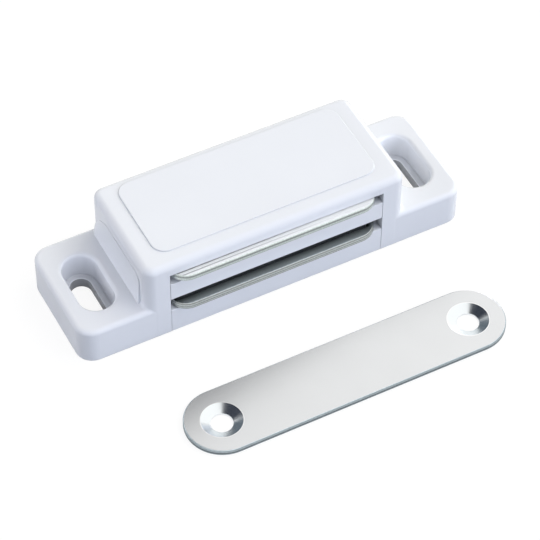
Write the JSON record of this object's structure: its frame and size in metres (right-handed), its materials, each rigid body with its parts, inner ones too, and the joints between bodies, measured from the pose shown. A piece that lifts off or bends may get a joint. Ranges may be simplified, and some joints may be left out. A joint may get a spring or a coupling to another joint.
{
  "type": "magnetic cupboard catch",
  "caption": "Surface-mounted magnetic cupboard catch: moulded housing with slotted ears, a floating magnet between steel pole plates, and a countersunk steel strike plate for the door.",
  "frame": {"origin": "centre of the catch's mounting face, on the surface that it is screwed to", "axes": "+X along the catch from ear to ear, -Y the side that the door closes on, +Z away from the mounting surface"},
  "size_m": [0.08, 0.0542, 0.0185],
  "materials": {
    "housing": "glossy moulded, matte roof panel",
    "base_cover": "glossy moulded",
    "magnet": "ground ferrite",
    "pole_plates": "bright plated, rolled",
    "strike_plate": "satin plated"
  },
  "bodies": {
    "catch": {"housing": "housing", "base_cover": "base_cover"},
    "magnet_pack": {"magnet": "magnet", "lower_pole_plate": "pole_plates", "upper_pole_plate": "pole_plates"},
    "strike": {"strike_plate": "strike_plate"}
  },
  "joints": [
    {"name": "magnet_float", "type": "slide", "parent": "catch", "child": "magnet_pack", "axis": [0, 1, 0], "range_m": [0, 0.001]},
    {"name": "door_swing", "type": "hinge", "parent": "catch", "child": "strike", "pos_m": [0.002, -0.01965, -0.005], "axis": [1, 0, 0], "range_deg": [-90, 0]}
  ]
}
